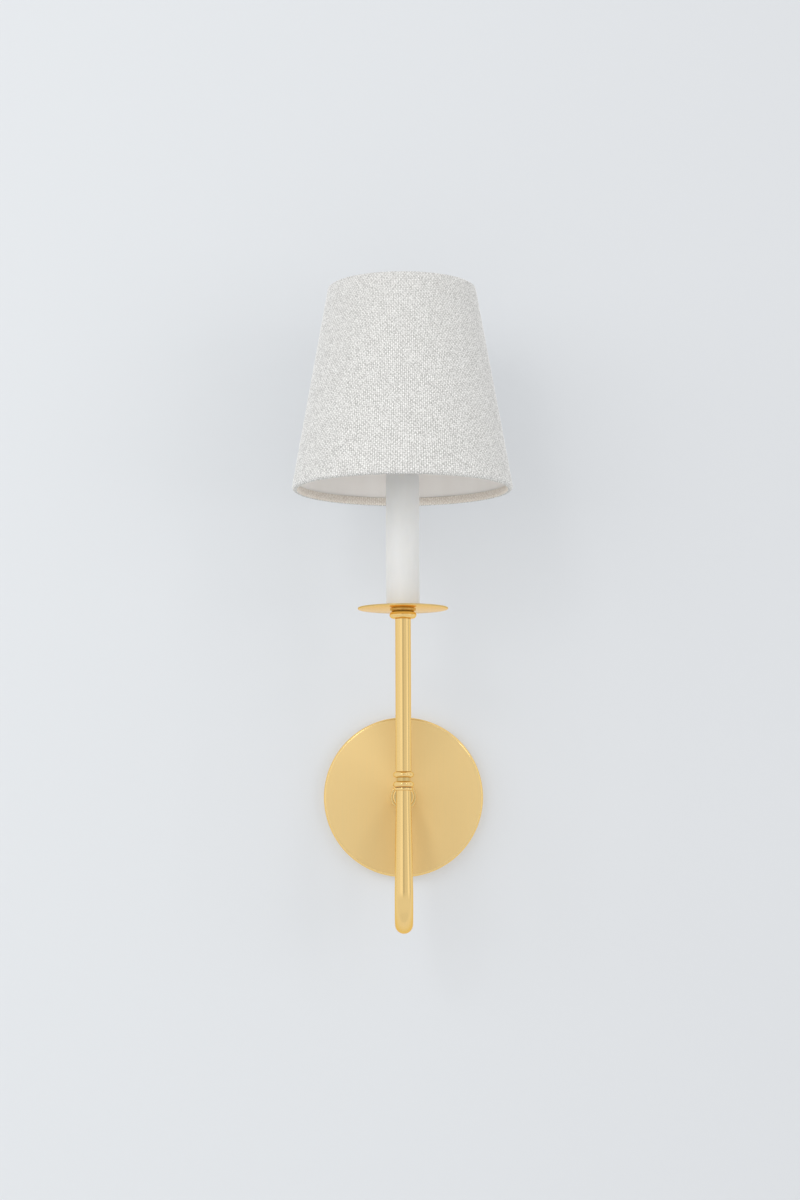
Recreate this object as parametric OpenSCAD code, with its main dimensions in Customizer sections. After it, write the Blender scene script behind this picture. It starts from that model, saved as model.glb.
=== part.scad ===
// Wall sconce: a round backplate, a hollow swan-neck arm, a turned collar and stem,
// a drip pan with a candle sleeve, a candelabra bulb and a clip-on linen shade.
// +Z is up, the wall is the plane y = 0, and the sconce stands out towards -Y.
// The origin is the centre of the backplate, on the wall.

/* [Backplate] */
// Outer diameter of the backplate
plate_d = 120; // [118:1:150]
// Depth of the backplate from the wall to its face
plate_depth = 10; // [10:0.5:16]
// Thickness of the spun brass of the backplate
plate_wall = 1.5; // [1:0.1:1.6]
// Radius of the backplate's front edge
plate_edge_r = 1.6; // [0.5:0.1:2.5]

/* [Mounting strap] */
// Width of the mounting strap
strap_w = 16; // [14:1:22]
// Thickness of the mounting strap
strap_t = 2; // [1.5:0.1:2.2]
// Distance between the slots for the wall box screws
slot_spacing = 88.9; // [82.6:0.1:92]
// Width of each slot
slot_w = 4.6; // [4:0.1:5.2]
// Length of each slot, end to end
slot_len = 12; // [8:0.5:14]
// Diameter of the wire hole in the middle of the strap
strap_hole_d = 12; // [11:0.5:13]
// Depth of the bent ears that the rim screws go into
ear_h = 5.2; // [5:0.1:5.8]
// Diameter of the rim screws
rim_screw_d = 3; // [2.5:0.1:3.5]
// Diameter of the rim screws' heads
rim_head_d = 5.5; // [4.5:0.1:7]
// Height of the rim screws' heads
rim_head_h = 1.8; // [1:0.1:3]
// Diameter of the earth screw
earth_screw_d = 4; // [3:0.1:4.5]

/* [Boss] */
// Diameter of the boss on the backplate
boss_d = 19.6; // [18:0.2:26]
// Diameter of the boss's raised ring
boss_ring_d = 16; // [14:0.2:17.5]
// Height of the boss's flange
boss_flange_h = 2.4; // [1:0.1:4]
// Height of the boss's raised ring above its flange
boss_ring_h = 2.6; // [1:0.1:5]

/* [Swan arm] */
// Distance from the wall to the axis of the stem
stem_out = 105; // [98:1:130]
// How far the arm's centreline drops below the boss
arm_drop = 93.2; // [80:0.2:120]
// Centreline radius of the arm's lower bend
bend_r = 24; // [18:0.5:26]
// Height of the arm's top end above the centre of the boss
arm_top = 2.4; // [0:0.2:8]
// Diameter of the arm where it leaves the boss
arm_d_boss = 10.6; // [10.4:0.1:13]
// Diameter of the arm around its lower bend
arm_d_bend = 13.2; // [11:0.1:16]
// Diameter of the arm at its top end
arm_d_top = 10.2; // [10:0.1:12]
// Wall of the arm's tube
arm_wall = 1.2; // [0.8:0.1:1.2]
// Straight length of the arm at the boss
arm_lead = 6; // [5:0.5:12]

/* [Collar and stem] */
// Diameter of the collar's two beads
bead_d = 14.9; // [13:0.1:18]
// Diameter of the collar's waist between its beads
waist_d = 9.6; // [9:0.1:11]
// Height of the lower bead
low_bead_h = 4.5; // [3:0.1:6]
// Height of the upper bead
high_bead_h = 4.2; // [3:0.1:6]
// Height of the waist
waist_h = 2.6; // [2:0.1:6]
// Diameter of the collar's foot
collar_foot_d = 13.2; // [12:0.1:14]
// Height of the collar's foot
collar_foot_h = 2.1; // [1:0.1:4]
// Diameter of the stem's tube
stem_d = 11.2; // [10.8:0.1:13]
// Wall of the stem's tube
stem_wall = 1.3; // [0.8:0.1:1.3]
// Length of the stem
stem_len = 109.8; // [60:0.1:200]
// Length of the collar's and the knob's spigots
spigot_len = 8; // [4:0.5:14]

/* [Drip pan] */
// Diameter of the knob under the drip pan
knob_d = 19.4; // [16:0.1:24]
// Height of the knob's bulge
knob_bulge_h = 5.2; // [4:0.1:8]
// Diameter of the groove over the knob's bulge
knob_groove_d = 16.2; // [14:0.1:17]
// Diameter of the knob's flared neck where it meets the drip pan
knob_neck_d = 18.4; // [17:0.1:20]
// Height of the knob's neck
knob_neck_h = 1.6; // [1:0.1:4]
// Diameter of the drip pan
pan_d = 65; // [50:0.5:90]
// Thickness of the drip pan
pan_t = 1.2; // [0.8:0.1:2]

/* [Candle] */
// Outer diameter of the candle sleeve
candle_d = 24; // [23.6:0.1:30]
// Wall of the candle sleeve
candle_wall = 1.25; // [0.8:0.05:1.3]
// Height of the candle sleeve
candle_h = 102; // [90:1:140]
// Outer diameter of the lampholder's body
holder_d = 20; // [19:0.1:20.2]
// Height of the lampholder's body
holder_h = 28; // [27:0.5:34]
// How far the lampholder lies below the sleeve's rim
holder_recess = 2; // [1:0.5:4]
// Outer diameter of the threaded pipe under the lampholder
pipe_d = 9.7; // [9:0.1:10]
// Diameter of each insulated wire
wire_d = 2; // [1.6:0.1:2.1]

/* [Bulb] */
// Largest diameter of the bulb
bulb_d = 35; // [30:0.5:37]
// Length of the bulb from its contact to its tip
bulb_len = 98; // [92:0.5:102]
// Diameter of the bulb's screw cap
cap_d = 12; // [11.5:0.1:12.2]
// Height of the bulb's screw cap
cap_h = 12.5; // [11:0.1:14]

/* [Shade] */
// Diameter of the shade's lower edge
shade_bottom_d = 160; // [140:1:180]
// Diameter of the shade's upper edge
shade_top_d = 107; // [90:1:130]
// Height of the shade
shade_h = 149; // [142:1:170]
// How far the shade's lower edge hangs below the top of the candle sleeve
shade_hang = 16; // [4:1:18]
// Thickness of the linen
linen_t = 1; // [0.6:0.1:1.6]
// Thickness of the stiff lining
lining_t = 0.5; // [0.3:0.1:1]
// Diameter of the wire of the shade's rings
ring_wire_d = 2.4; // [2:0.1:3]
// Height of the linen that is turned in over the rings
hem_h = 6; // [5:0.5:12]
// How far the cross bar lies below the shade's upper edge
bar_drop = 12; // [9:0.5:16]
// Diameter of the cross bar
bar_d = 2.6; // [2:0.1:3]
// Diameter of the wire of the bulb clip
clip_wire_d = 1.6; // [1.2:0.1:2]
// Half of the angle that each clip loop covers around the bulb
clip_half_angle = 32; // [24:1:40]

/* [Hidden] */

$fn = 96;
// Clearances: a thread or spigot in its hole, a turning fit, and a gap between soft or loose faces
fit_gap = 0.05;
turn_gap = 0.05;
loose_gap = 0.3;

brass = "#e2c183";
steel = "#b9bcc0";
zinc = "#a9adb2";

// Places along the stem's axis, each stacked on the one before
collar_h = collar_foot_h + low_bead_h + waist_h + high_bead_h;
collar_z = arm_top;
stem_z = collar_z + collar_h;
knob_z = stem_z + stem_len;
knob_h = knob_bulge_h + knob_neck_h;
pan_z = knob_z + knob_h;
candle_z = pan_z + pan_t;
candle_top = candle_z + candle_h;
holder_top = candle_top - holder_recess;
holder_z = holder_top - holder_h;

// Inside the backplate
plate_r = plate_d / 2;
plate_inner_r = plate_r - plate_wall;
ear_t = strap_t;
ear_gap = 1.2;
ear_top = sqrt(pow(plate_inner_r - ear_gap, 2) - pow(strap_w / 2, 2));
rim_screw_y = strap_t + ear_h / 2;
nipple_d = 8;
nipple_bore_d = 5.4;
nut_t = 3;
washer_t = 0.8;
boss_h = boss_flange_h + boss_ring_h;
boss_face = plate_depth + boss_h;
nipple_in = arm_lead - 1;
nipple_tail = 0.8;
nipple_back = plate_depth - plate_wall - washer_t - nut_t - nipple_tail;
earth_screw_z = (strap_hole_d / 2 + slot_spacing / 2 - slot_len / 2) / 2;
earth_head_d = 2 * earth_screw_d - 0.4;
earth_head_h = 2;

// Collar, stem and knob
stem_bore_r = stem_d / 2 - stem_wall;
arm_bore_r = arm_d_top / 2 - arm_wall;
arm_sides = 24;
arm_spigot_r = arm_bore_r * cos(180 / arm_sides) - fit_gap;
stem_spigot_r = stem_bore_r - fit_gap;
wire_bore_r = 2.6;
socket_depth = 4.6;
knob_groove_h = 0.4;

// Lampholder
pipe_r = pipe_d / 2;
pipe_bore_r = 3.2;
pipe_rise = 14;
pipe_top = candle_z + pipe_rise;
pipe_bottom = knob_z + knob_h - socket_depth;
pan_nut_t = 3;
leg_foot_t = 1.8;
leg_t = 1.2;
leg_w = 6;
leg_r = candle_d / 2 - candle_wall - 1;
leg_foot_z = candle_z + pan_nut_t + fit_gap;
holder_floor_t = 7;
holder_floor = holder_z + holder_floor_t;
shell_wall = 0.6;
shell_bore_r = cap_d / 2 + loose_gap;
shell_r = shell_bore_r + shell_wall;
holder_bore_r = shell_r + fit_gap;
shell_h = holder_top - 1.5 - holder_floor;
rivet_r = 1.3;
rivet_head_r = 2.4;
rivet_head_h = 0.8;
contact_t = 0.5;
contact_w = 5;
contact_rise = 3.6;
wire_x = wire_d / 2 + 0.1;
neutral_x = shell_bore_r + shell_wall / 2;

// Bulb, measured up from its centre contact
bulb_z = holder_floor + contact_rise + loose_gap;
tip_h = 0.9;
tip_r = 2.2;
tip_flat_r = 1.2;
insulator_h = 2.2;
insulator_low_r = 2.6;
insulator_rim = 1.2;
cap_z = bulb_z + tip_h + insulator_h;
cap_top = cap_z + cap_h;
cap_wall = 0.4;
cap_edge = 1;
thread_pitch = 2.54;
thread_depth = 0.5;
thread_turns = floor((cap_h - 2) / thread_pitch);
neck_r = cap_d / 2 - thread_depth - cap_wall - fit_gap;
neck_seat = 4;
neck_z = cap_top - neck_seat;
swell_h = 26;
bulb_wide_z = cap_top + swell_h;
bulb_tip_z = bulb_z + bulb_len;
glass_t = 0.8;
filament_r = 0.8;
filament_ring_r = 6;
filament_h = 36;
filament_drop = 8;
filament_low = bulb_wide_z - filament_drop;
filament_high = filament_low + filament_h;
frame_wire_r = 0.35;
mount_r = 1.4;
mount_foot_h = 1.5;
mount_flare_h = 7.5;

// Clip loops
clip_r = clip_wire_d / 2;
loop_half = bulb_d / 2 * clip_half_angle * PI / 180;
loop_rise = 3;
loop_side = 14;
loop_low = bulb_wide_z + loop_rise + loop_half;
loop_high = loop_low + loop_side;
root_r = 3.2;

// Shade: u runs inwards from the linen's outer face and v up along it
shade_z = candle_top - shade_hang;
shade_top = shade_z + shade_h;
shade_slant = atan2((shade_bottom_d - shade_top_d) / 2, shade_h);
shade_side = shade_h / cos(shade_slant);
hem_r = (2 * linen_t + ring_wire_d + 2 * fit_gap) / 2;
lining_u = linen_t + 0.1;
turned_in_u = lining_u + lining_t + 0.1;
lining_edge = 2 * hem_r + 0.4;
function shade_point(u, v) = [
    shade_bottom_d / 2 - v * sin(shade_slant) - u * cos(shade_slant),
    shade_z + v * cos(shade_slant) - u * sin(shade_slant)];
bar_z = shade_top - bar_drop;
barrel_len = 9;
barrel_r = 3;
stop_r = 2.3;
stop_t = 1.2;
ring_centre_top = shade_point(hem_r, shade_side - hem_r);
ring_centre_bottom = shade_point(hem_r, hem_r);
hem_wrap = 30;
bar_rise_run = 16;
bar_straight = ring_centre_top[0] - bar_rise_run;
bar_run = [bar_rise_run, ring_centre_top[1] - bar_z];
weld = 0.2;

// Points of an arc in the plane, from angle a0 to a1
function arc(cx, cy, r, a0, a1, n = 8) =
    [for (i = [0 : n]) let (a = a0 + (a1 - a0) * i / n) [cx + r * cos(a), cy + r * sin(a)]];

function unit(v) = v / norm(v);
function along(path, i) = unit(path[min(i + 1, len(path) - 1)] - path[max(i - 1, 0)]);
// One ring of a swept tube, square to the path, with its first point towards side
function ring_points(centre, t, side, r, sides) =
    let (a = unit(side - (side * t) * t), b = cross(t, a))
    [for (k = [0 : sides - 1]) centre + r * (cos(360 * k / sides) * a + sin(360 * k / sides) * b)];
// Triangles of the band between two rings, whose first points are at m and n
function band(m, n, sides) =
    [for (k = [0 : sides - 1]) let (j = (k + 1) % sides)
        each [[m + k, n + k, n + j], [m + k, n + j, m + j]]];

// A solid round tube along a path of points; r and side hold one value for each point
module solid_tube(path, r, side, sides = 8) {
    last = (len(path) - 1) * sides;
    points = [for (i = [0 : len(path) - 1]) each ring_points(path[i], along(path, i), side[i], r[i], sides)];
    walls = [for (i = [0 : len(path) - 2]) each band(i * sides, (i + 1) * sides, sides)];
    first_cap = [for (k = [1 : sides - 2]) [0, k, k + 1]];
    last_cap = [for (k = [1 : sides - 2]) [last, last + k + 1, last + k]];
    polyhedron(points, concat(walls, first_cap, last_cap), convexity = 8);
}

// A hollow round tube along a path of points, open at both ends
module hollow_tube(path, r, wall, side, sides) {
    count = len(path);
    inner = count * sides;
    last = (count - 1) * sides;
    skin = [for (i = [0 : count - 1]) each ring_points(path[i], along(path, i), side, r[i], sides)];
    lumen = [for (i = [0 : count - 1]) each ring_points(path[i], along(path, i), side, r[i] - wall, sides)];
    skin_walls = [for (i = [0 : count - 2]) each band(i * sides, (i + 1) * sides, sides)];
    lumen_walls = [for (i = [0 : count - 2]) each band(inner + (i + 1) * sides, inner + i * sides, sides)];
    polyhedron(concat(skin, lumen),
        concat(skin_walls, lumen_walls, band(inner, 0, sides), band(last, inner + last, sides)),
        convexity = 8);
}

// A turned piece on the stem's axis
module on_axis() {
    translate([0, -stem_out, 0]) children();
}

// A turned piece on the backplate's axis, drawn with its profile's height standing out from the wall
module out_from_wall() {
    rotate([90, 0, 0]) children();
}

// The arm's centreline, as distance from the wall and height
neck_bend_r = stem_out - 2 * bend_r - boss_face - arm_lead;
function arm_line() = concat(
    [[boss_face, 0]],
    arc(boss_face + arm_lead, -neck_bend_r, neck_bend_r, 90, 0, 12),
    arc(stem_out - bend_r, -(arm_drop - bend_r), bend_r, 180, 360, 24),
    [[stem_out, arm_top]]);
function arm_path(x = 0) = [for (p = arm_line()) [x, -p[0], p[1]]];
// The arm swells from the boss to its lower bend and thins again up its front leg
function arm_radius(p) =
    let (
        front = p[0] > stem_out - bend_r,
        low = -(arm_drop - bend_r),
        share = p[1] < -neck_bend_r ? 1 : 0.6,
        back = min(1, (p[0] - boss_face) / (stem_out - 2 * bend_r - boss_face)) * share,
        rise = max(0, (p[1] - low) / (arm_top - low)))
    front
        ? (arm_d_bend + (arm_d_top - arm_d_bend) * rise) / 2
        : (arm_d_boss + (arm_d_bend - arm_d_boss) * back) / 2;

module backplate() {
    profile = concat(
        [[plate_r - plate_wall, 0], [plate_r, 0]],
        arc(plate_r - plate_edge_r, plate_depth - plate_edge_r, plate_edge_r, 0, 90, 8),
        [[nipple_d / 2 + fit_gap, plate_depth], [nipple_d / 2 + fit_gap, plate_depth - plate_wall],
         [plate_r - plate_wall, plate_depth - plate_wall]]);
    color(brass)
        difference() {
            out_from_wall() rotate_extrude() polygon(profile);
            translate([0, -rim_screw_y, 0])
                cylinder(d = rim_screw_d + 2 * loose_gap, h = plate_d + 2, center = true);
        }
}

module mounting_strap() {
    color(zinc)
        difference() {
            union() {
                translate([-strap_w / 2, -strap_t, -ear_top]) cube([strap_w, strap_t, 2 * ear_top]);
                for (s = [-1, 1])
                    translate([-strap_w / 2, -strap_t - ear_h, s * (ear_top - ear_t / 2) - ear_t / 2])
                        cube([strap_w, ear_h + strap_t, ear_t]);
            }
            out_from_wall() cylinder(d = strap_hole_d, h = 3 * strap_t, center = true);
            for (s = [-1, 1]) {
                translate([0, 0, s * slot_spacing / 2]) slot_cut();
                translate([0, -rim_screw_y, s * ear_top])
                    cylinder(d = rim_screw_d + 2 * fit_gap, h = 4 * ear_t, center = true);
            }
            translate([0, 0, earth_screw_z]) out_from_wall()
                cylinder(d = earth_screw_d + 2 * fit_gap, h = 3 * strap_t, center = true);
        }
}

module slot_cut() {
    run = slot_len - slot_w;
    cube([slot_w, 3 * strap_t, run], center = true);
    for (s = [-1, 1])
        translate([0, 0, s * run / 2]) out_from_wall() cylinder(d = slot_w, h = 3 * strap_t, center = true);
}

module rim_screws() {
    shank = plate_r - (ear_top - ear_t) + 1;
    color(brass)
        for (s = [0, 180])
            translate([0, -rim_screw_y, 0]) rotate([s, 0, 0])
                difference() {
                    union() {
                        translate([0, 0, plate_r - shank]) cylinder(d = rim_screw_d, h = shank + fit_gap);
                        translate([0, 0, plate_r + fit_gap]) rotate_extrude()
                            polygon(concat([[0, 0], [rim_head_d / 2, 0]],
                                arc(rim_head_d / 2 - 0.5, rim_head_h - 0.5, 0.5, 0, 90, 4),
                                [[0, rim_head_h]]));
                    }
                    translate([0, 0, plate_r + fit_gap + rim_head_h])
                        cube([0.8, rim_head_d + 1, 1.6], center = true);
                }
}

module earth_screw() {
    color("#3f8a54")
        translate([0, 0, earth_screw_z]) out_from_wall()
            difference() {
                union() {
                    cylinder(d = earth_screw_d, h = strap_t + fit_gap);
                    translate([0, 0, strap_t + fit_gap]) cylinder(d = earth_head_d, h = earth_head_h);
                }
                translate([0, 0, strap_t + fit_gap + earth_head_h])
                    cube([0.9, earth_head_d + 1, 1.6], center = true);
            }
}

module boss() {
    bore = nipple_d / 2 + fit_gap;
    round_r = 0.9;
    color(brass)
        out_from_wall() translate([0, 0, plate_depth]) rotate_extrude()
            polygon(concat(
                [[bore, 0], [boss_d / 2, 0]],
                arc(boss_d / 2 - round_r, boss_flange_h - round_r, round_r, 0, 90, 5),
                [[boss_ring_d / 2, boss_flange_h]],
                arc(boss_ring_d / 2 - round_r, boss_h - round_r, round_r, 0, 90, 5),
                [[bore, boss_h]]));
}

module arm_nipple() {
    color(zinc)
        out_from_wall() translate([0, 0, nipple_back])
            difference() {
                cylinder(d = nipple_d, h = boss_face + nipple_in - nipple_back);
                translate([0, 0, -1]) cylinder(d = nipple_bore_d, h = boss_face + nipple_in);
            }
}

module lock_washer() {
    color(steel)
        out_from_wall() translate([0, 0, plate_depth - plate_wall - washer_t])
            difference() {
                cylinder(d = nipple_d + 6, h = washer_t);
                translate([0, 0, -1]) cylinder(d = nipple_d + 2 * fit_gap, h = washer_t + 2);
                translate([0, -0.6, -1]) cube([nipple_d, 1.2, washer_t + 2]);
            }
}

module lock_nut() {
    color(zinc)
        out_from_wall() translate([0, 0, plate_depth - plate_wall - washer_t - nut_t])
            difference() {
                cylinder(d = nipple_d + 7, h = nut_t, $fn = 6);
                translate([0, 0, -1]) cylinder(d = nipple_d + 2 * fit_gap, h = nut_t + 2);
            }
}

module swan_arm() {
    color(brass)
        hollow_tube(arm_path(), [for (p = arm_line()) arm_radius(p)], arm_wall, [1, 0, 0], arm_sides);
}

// One bead, as half an oval from the waist's radius out to the bead's
function bead(z, h, inner, outer) =
    [for (i = [0 : 12]) let (a = 180 * i / 12)
        [inner + (outer - inner) * sin(a), z + h / 2 * (1 - cos(a))]];

module collar() {
    foot = collar_foot_d / 2;
    waist = waist_d / 2;
    low_bead = collar_z + collar_foot_h;
    high_bead = low_bead + low_bead_h + waist_h;
    color(brass)
        on_axis() rotate_extrude()
            polygon(concat(
                [[wire_bore_r, collar_z - spigot_len], [arm_spigot_r, collar_z - spigot_len],
                 [arm_spigot_r, collar_z], [foot - 0.3, collar_z], [foot, collar_z + 0.4],
                 [foot, collar_z + collar_foot_h - 0.4]],
                bead(low_bead, low_bead_h, waist, bead_d / 2),
                bead(high_bead, high_bead_h, waist, bead_d / 2),
                [[stem_spigot_r, stem_z], [stem_spigot_r, stem_z + spigot_len],
                 [wire_bore_r, stem_z + spigot_len]]));
}

module stem() {
    color(brass)
        on_axis() translate([0, 0, stem_z])
            difference() {
                cylinder(d = stem_d, h = stem_len);
                translate([0, 0, -1]) cylinder(r = stem_bore_r, h = stem_len + 2);
            }
}

module knob() {
    bulge_top = knob_z + knob_bulge_h;
    groove_r = knob_groove_d / 2;
    color(brass)
        on_axis() rotate_extrude()
            polygon(concat(
                [[wire_bore_r, knob_z - spigot_len], [stem_spigot_r, knob_z - spigot_len],
                 [stem_spigot_r, knob_z]],
                [for (i = [0 : 12]) let (a = -90 + 180 * i / 12)
                    [stem_d / 2 + 1 + (knob_d / 2 - stem_d / 2 - 1) * cos(a),
                     knob_z + knob_bulge_h / 2 * (1 + sin(a))]],
                [[groove_r, bulge_top], [groove_r, bulge_top + knob_groove_h],
                 [knob_neck_d / 2, bulge_top + knob_neck_h],
                 [pipe_r + fit_gap, bulge_top + knob_neck_h], [pipe_r + fit_gap, pipe_bottom],
                 [wire_bore_r, pipe_bottom]]));
}

module drip_pan() {
    edge = pan_t / 2;
    color(brass)
        on_axis() rotate_extrude()
            polygon(concat(
                [[pipe_r + fit_gap, pan_z]],
                arc(pan_d / 2 - edge, pan_z + edge, edge, -90, 90, 8),
                [[pipe_r + fit_gap, pan_z + pan_t]]));
}

module pipe() {
    color(zinc)
        on_axis() translate([0, 0, pipe_bottom])
            difference() {
                cylinder(r = pipe_r, h = pipe_top - pipe_bottom);
                translate([0, 0, -1]) cylinder(r = pipe_bore_r, h = pipe_top - pipe_bottom + 2);
            }
}

module pan_nut() {
    color(steel)
        on_axis() translate([0, 0, candle_z])
            difference() {
                cylinder(d = pipe_d + 6.5, h = pan_nut_t, $fn = 6);
                translate([0, 0, -1]) cylinder(r = pipe_r + fit_gap, h = pan_nut_t + 2);
            }
}

// The strip that carries the lampholder: a foot on the pipe, a riser, and a tab under the holder
module holder_leg() {
    riser_h = holder_z - leg_foot_z;
    color(steel)
        on_axis()
            difference() {
                union() {
                    translate([0, 0, leg_foot_z]) cylinder(r = pipe_r + 2.2, h = leg_foot_t);
                    translate([-leg_w / 2, 0, leg_foot_z]) cube([leg_w, leg_r, leg_foot_t]);
                    translate([-leg_w / 2, leg_r - leg_t, leg_foot_z]) cube([leg_w, leg_t, riser_h]);
                    translate([-leg_w / 2, -leg_w / 2, holder_z - leg_t])
                        cube([leg_w, leg_r + leg_w / 2, leg_t]);
                }
                translate([0, 0, leg_foot_z - 1]) cylinder(r = pipe_r + fit_gap, h = leg_foot_t + 2);
                translate([0, 0, holder_z - 2 * leg_t]) cylinder(r = rivet_r + fit_gap, h = 3 * leg_t);
            }
}

module holder_body() {
    color("#e9e6df")
        on_axis()
            difference() {
                translate([0, 0, holder_z]) cylinder(d = holder_d, h = holder_h);
                translate([0, 0, holder_floor]) cylinder(r = holder_bore_r, h = holder_h);
                translate([0, 0, holder_z - 1]) cylinder(r = rivet_r + fit_gap, h = holder_h);
                translate([-neutral_x, 0, holder_z - 1]) cylinder(d = wire_d + 2 * loose_gap, h = holder_h);
            }
}

module holder_shell() {
    color("#c9a95e")
        on_axis() translate([0, 0, holder_floor])
            difference() {
                cylinder(r = shell_r, h = shell_h);
                translate([0, 0, -1]) cylinder(r = shell_bore_r, h = shell_h + 2);
            }
}

// The springy strip under the bulb, bent up from the holder's floor and back over itself
module holder_contact() {
    back = 4;
    color("#c9a95e")
        on_axis() translate([0, 0, holder_floor])
            difference() {
                translate([0, contact_w / 2, 0]) rotate([90, 0, 0]) linear_extrude(contact_w)
                    polygon([[-3, 0], [back, 0], [back, contact_rise], [-1.5, contact_rise],
                        [-1.5, contact_rise - contact_t], [back - contact_t, contact_rise - contact_t],
                        [back - contact_t, contact_t], [-3, contact_t]]);
                translate([0, 0, -1]) cylinder(r = rivet_r + fit_gap, h = contact_t + 1.2);
            }
}

module holder_rivet() {
    grip = leg_t + holder_floor_t + contact_t + 2 * fit_gap;
    color(steel)
        on_axis() translate([0, 0, holder_z - leg_t - fit_gap]) {
            translate([0, 0, -rivet_head_h]) cylinder(r = rivet_head_r, h = rivet_head_h);
            cylinder(r = rivet_r, h = grip);
            translate([0, 0, grip]) cylinder(r = rivet_head_r, h = rivet_head_h);
        }
}

module candle_sleeve() {
    outer = candle_d / 2;
    inner = outer - candle_wall;
    lip = candle_wall / 2;
    color("#f4f2ea")
        on_axis() rotate_extrude()
            polygon(concat(
                [[inner, candle_z], [outer, candle_z]],
                arc(outer - lip, candle_top - lip, lip, 0, 180, 8)));
}

// The wires follow the arm's centreline side by side, then the stem, then part to their terminals
function wire_path(side, end) = concat(
    [[side * wire_x, -nipple_back + 1, 0]],
    arm_path(side * wire_x),
    [for (z = [stem_z, pipe_bottom, pipe_top]) [side * wire_x, -stem_out, z]],
    [[(side * wire_x + end[0]) / 2, -stem_out, (pipe_top + end[1]) / 2],
     [end[0], -stem_out, end[1] - 12], [end[0], -stem_out, end[1]]]);

module wire(side, end) {
    path = wire_path(side, end);
    solid_tube(path, [for (p = path) wire_d / 2], [for (p = path) [1, 0, 0]], 8);
}

module live_wire() {
    color("#2b2b2d") wire(1, [wire_x, holder_z - leg_t - fit_gap - rivet_head_h - fit_gap]);
}

module neutral_wire() {
    color("#efefec") wire(-1, [-neutral_x, holder_floor - fit_gap]);
}

module bulb_contact() {
    color("#d0d2d4")
        on_axis() rotate_extrude()
            polygon([[0, bulb_z], [tip_flat_r, bulb_z], [tip_r, bulb_z + tip_h], [0, bulb_z + tip_h]]);
}

module bulb_insulator() {
    low = bulb_z + tip_h + fit_gap;
    color("#26262a")
        on_axis() rotate_extrude()
            polygon([[0, low], [insulator_low_r, low],
                [cap_d / 2 - insulator_rim, cap_z - fit_gap], [0, cap_z - fit_gap]]);
}

module bulb_cap() {
    outer = cap_d / 2;
    inner = outer - thread_depth - cap_wall;
    steps = 6;
    thread_z = cap_z + cap_edge;
    color("#c8cbd0")
        on_axis() rotate_extrude()
            polygon(concat(
                [[0, cap_z], [outer - cap_edge, cap_z], [outer - thread_depth, thread_z]],
                [for (i = [1 : thread_turns * steps])
                    [outer - thread_depth * (1 + cos(360 * i / steps)) / 2,
                     thread_z + i * thread_pitch / steps]],
                [[outer - thread_depth, cap_top], [inner, cap_top], [inner, cap_z + cap_wall],
                 [0, cap_z + cap_wall]]));
}

// Radius of the bulb's glass at a height: a neck that swells to the widest place, then a long taper
function bulb_r(z) =
    let (
        low = max(0, min(1, (z - cap_top) / (bulb_wide_z - cap_top))),
        high = max(0, min(1, (z - bulb_wide_z) / (bulb_tip_z - bulb_wide_z))))
    z < bulb_wide_z
        ? neck_r + (bulb_d / 2 - neck_r) * pow(sin(90 * low), 2)
        : bulb_d / 2 * pow(1 - pow(high, 1.7), 0.8);

module bulb_glass() {
    steps = 36;
    rise = [for (i = [0 : steps]) cap_top + (bulb_tip_z - cap_top) * sin(90 * i / steps)];
    skin = [for (z = rise) [bulb_r(z), z]];
    lining = [for (i = [steps - 1 : -1 : 0])
        [bulb_r(rise[i]) - glass_t, min(rise[i], bulb_tip_z - glass_t)]];
    color([0.95, 0.96, 0.96, 0.35])
        on_axis() rotate_extrude()
            polygon(concat([[neck_r - glass_t, neck_z], [neck_r, neck_z]], skin,
                [[0, bulb_tip_z - glass_t]],
                [for (p = lining) if (p[0] > 0) p]));
}

module bulb_mount() {
    inner = neck_r - glass_t - fit_gap;
    color([0.9, 0.93, 0.93, 0.5])
        on_axis() rotate_extrude()
            polygon([[0, neck_z], [inner, neck_z], [inner, neck_z + mount_foot_h],
                [mount_r, neck_z + mount_foot_h + mount_flare_h],
                [mount_r, filament_high], [0, filament_high]]);
}

// Two stars of thin wire that hold the ends of the four filaments
module filament_frame() {
    color("#b4b0a8")
        on_axis()
            for (z = [filament_low - frame_wire_r - fit_gap, filament_high + frame_wire_r + fit_gap])
                translate([0, 0, z]) {
                    difference() {
                        cylinder(r = mount_r + fit_gap + 0.6, h = 2 * frame_wire_r, center = true);
                        cylinder(r = mount_r + fit_gap, h = 4 * frame_wire_r, center = true);
                    }
                    for (k = [0 : 3])
                        rotate([0, 90, 45 + 90 * k])
                            translate([0, 0, mount_r + 0.3])
                                cylinder(r = frame_wire_r, h = filament_ring_r + filament_r - mount_r, $fn = 16);
                }
}

module filaments() {
    color("#f2c75a")
        on_axis()
            for (k = [0 : 3])
                rotate([0, 0, 45 + 90 * k]) translate([filament_ring_r, 0, filament_low])
                    cylinder(r = filament_r, h = filament_high - filament_low);
}

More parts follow.
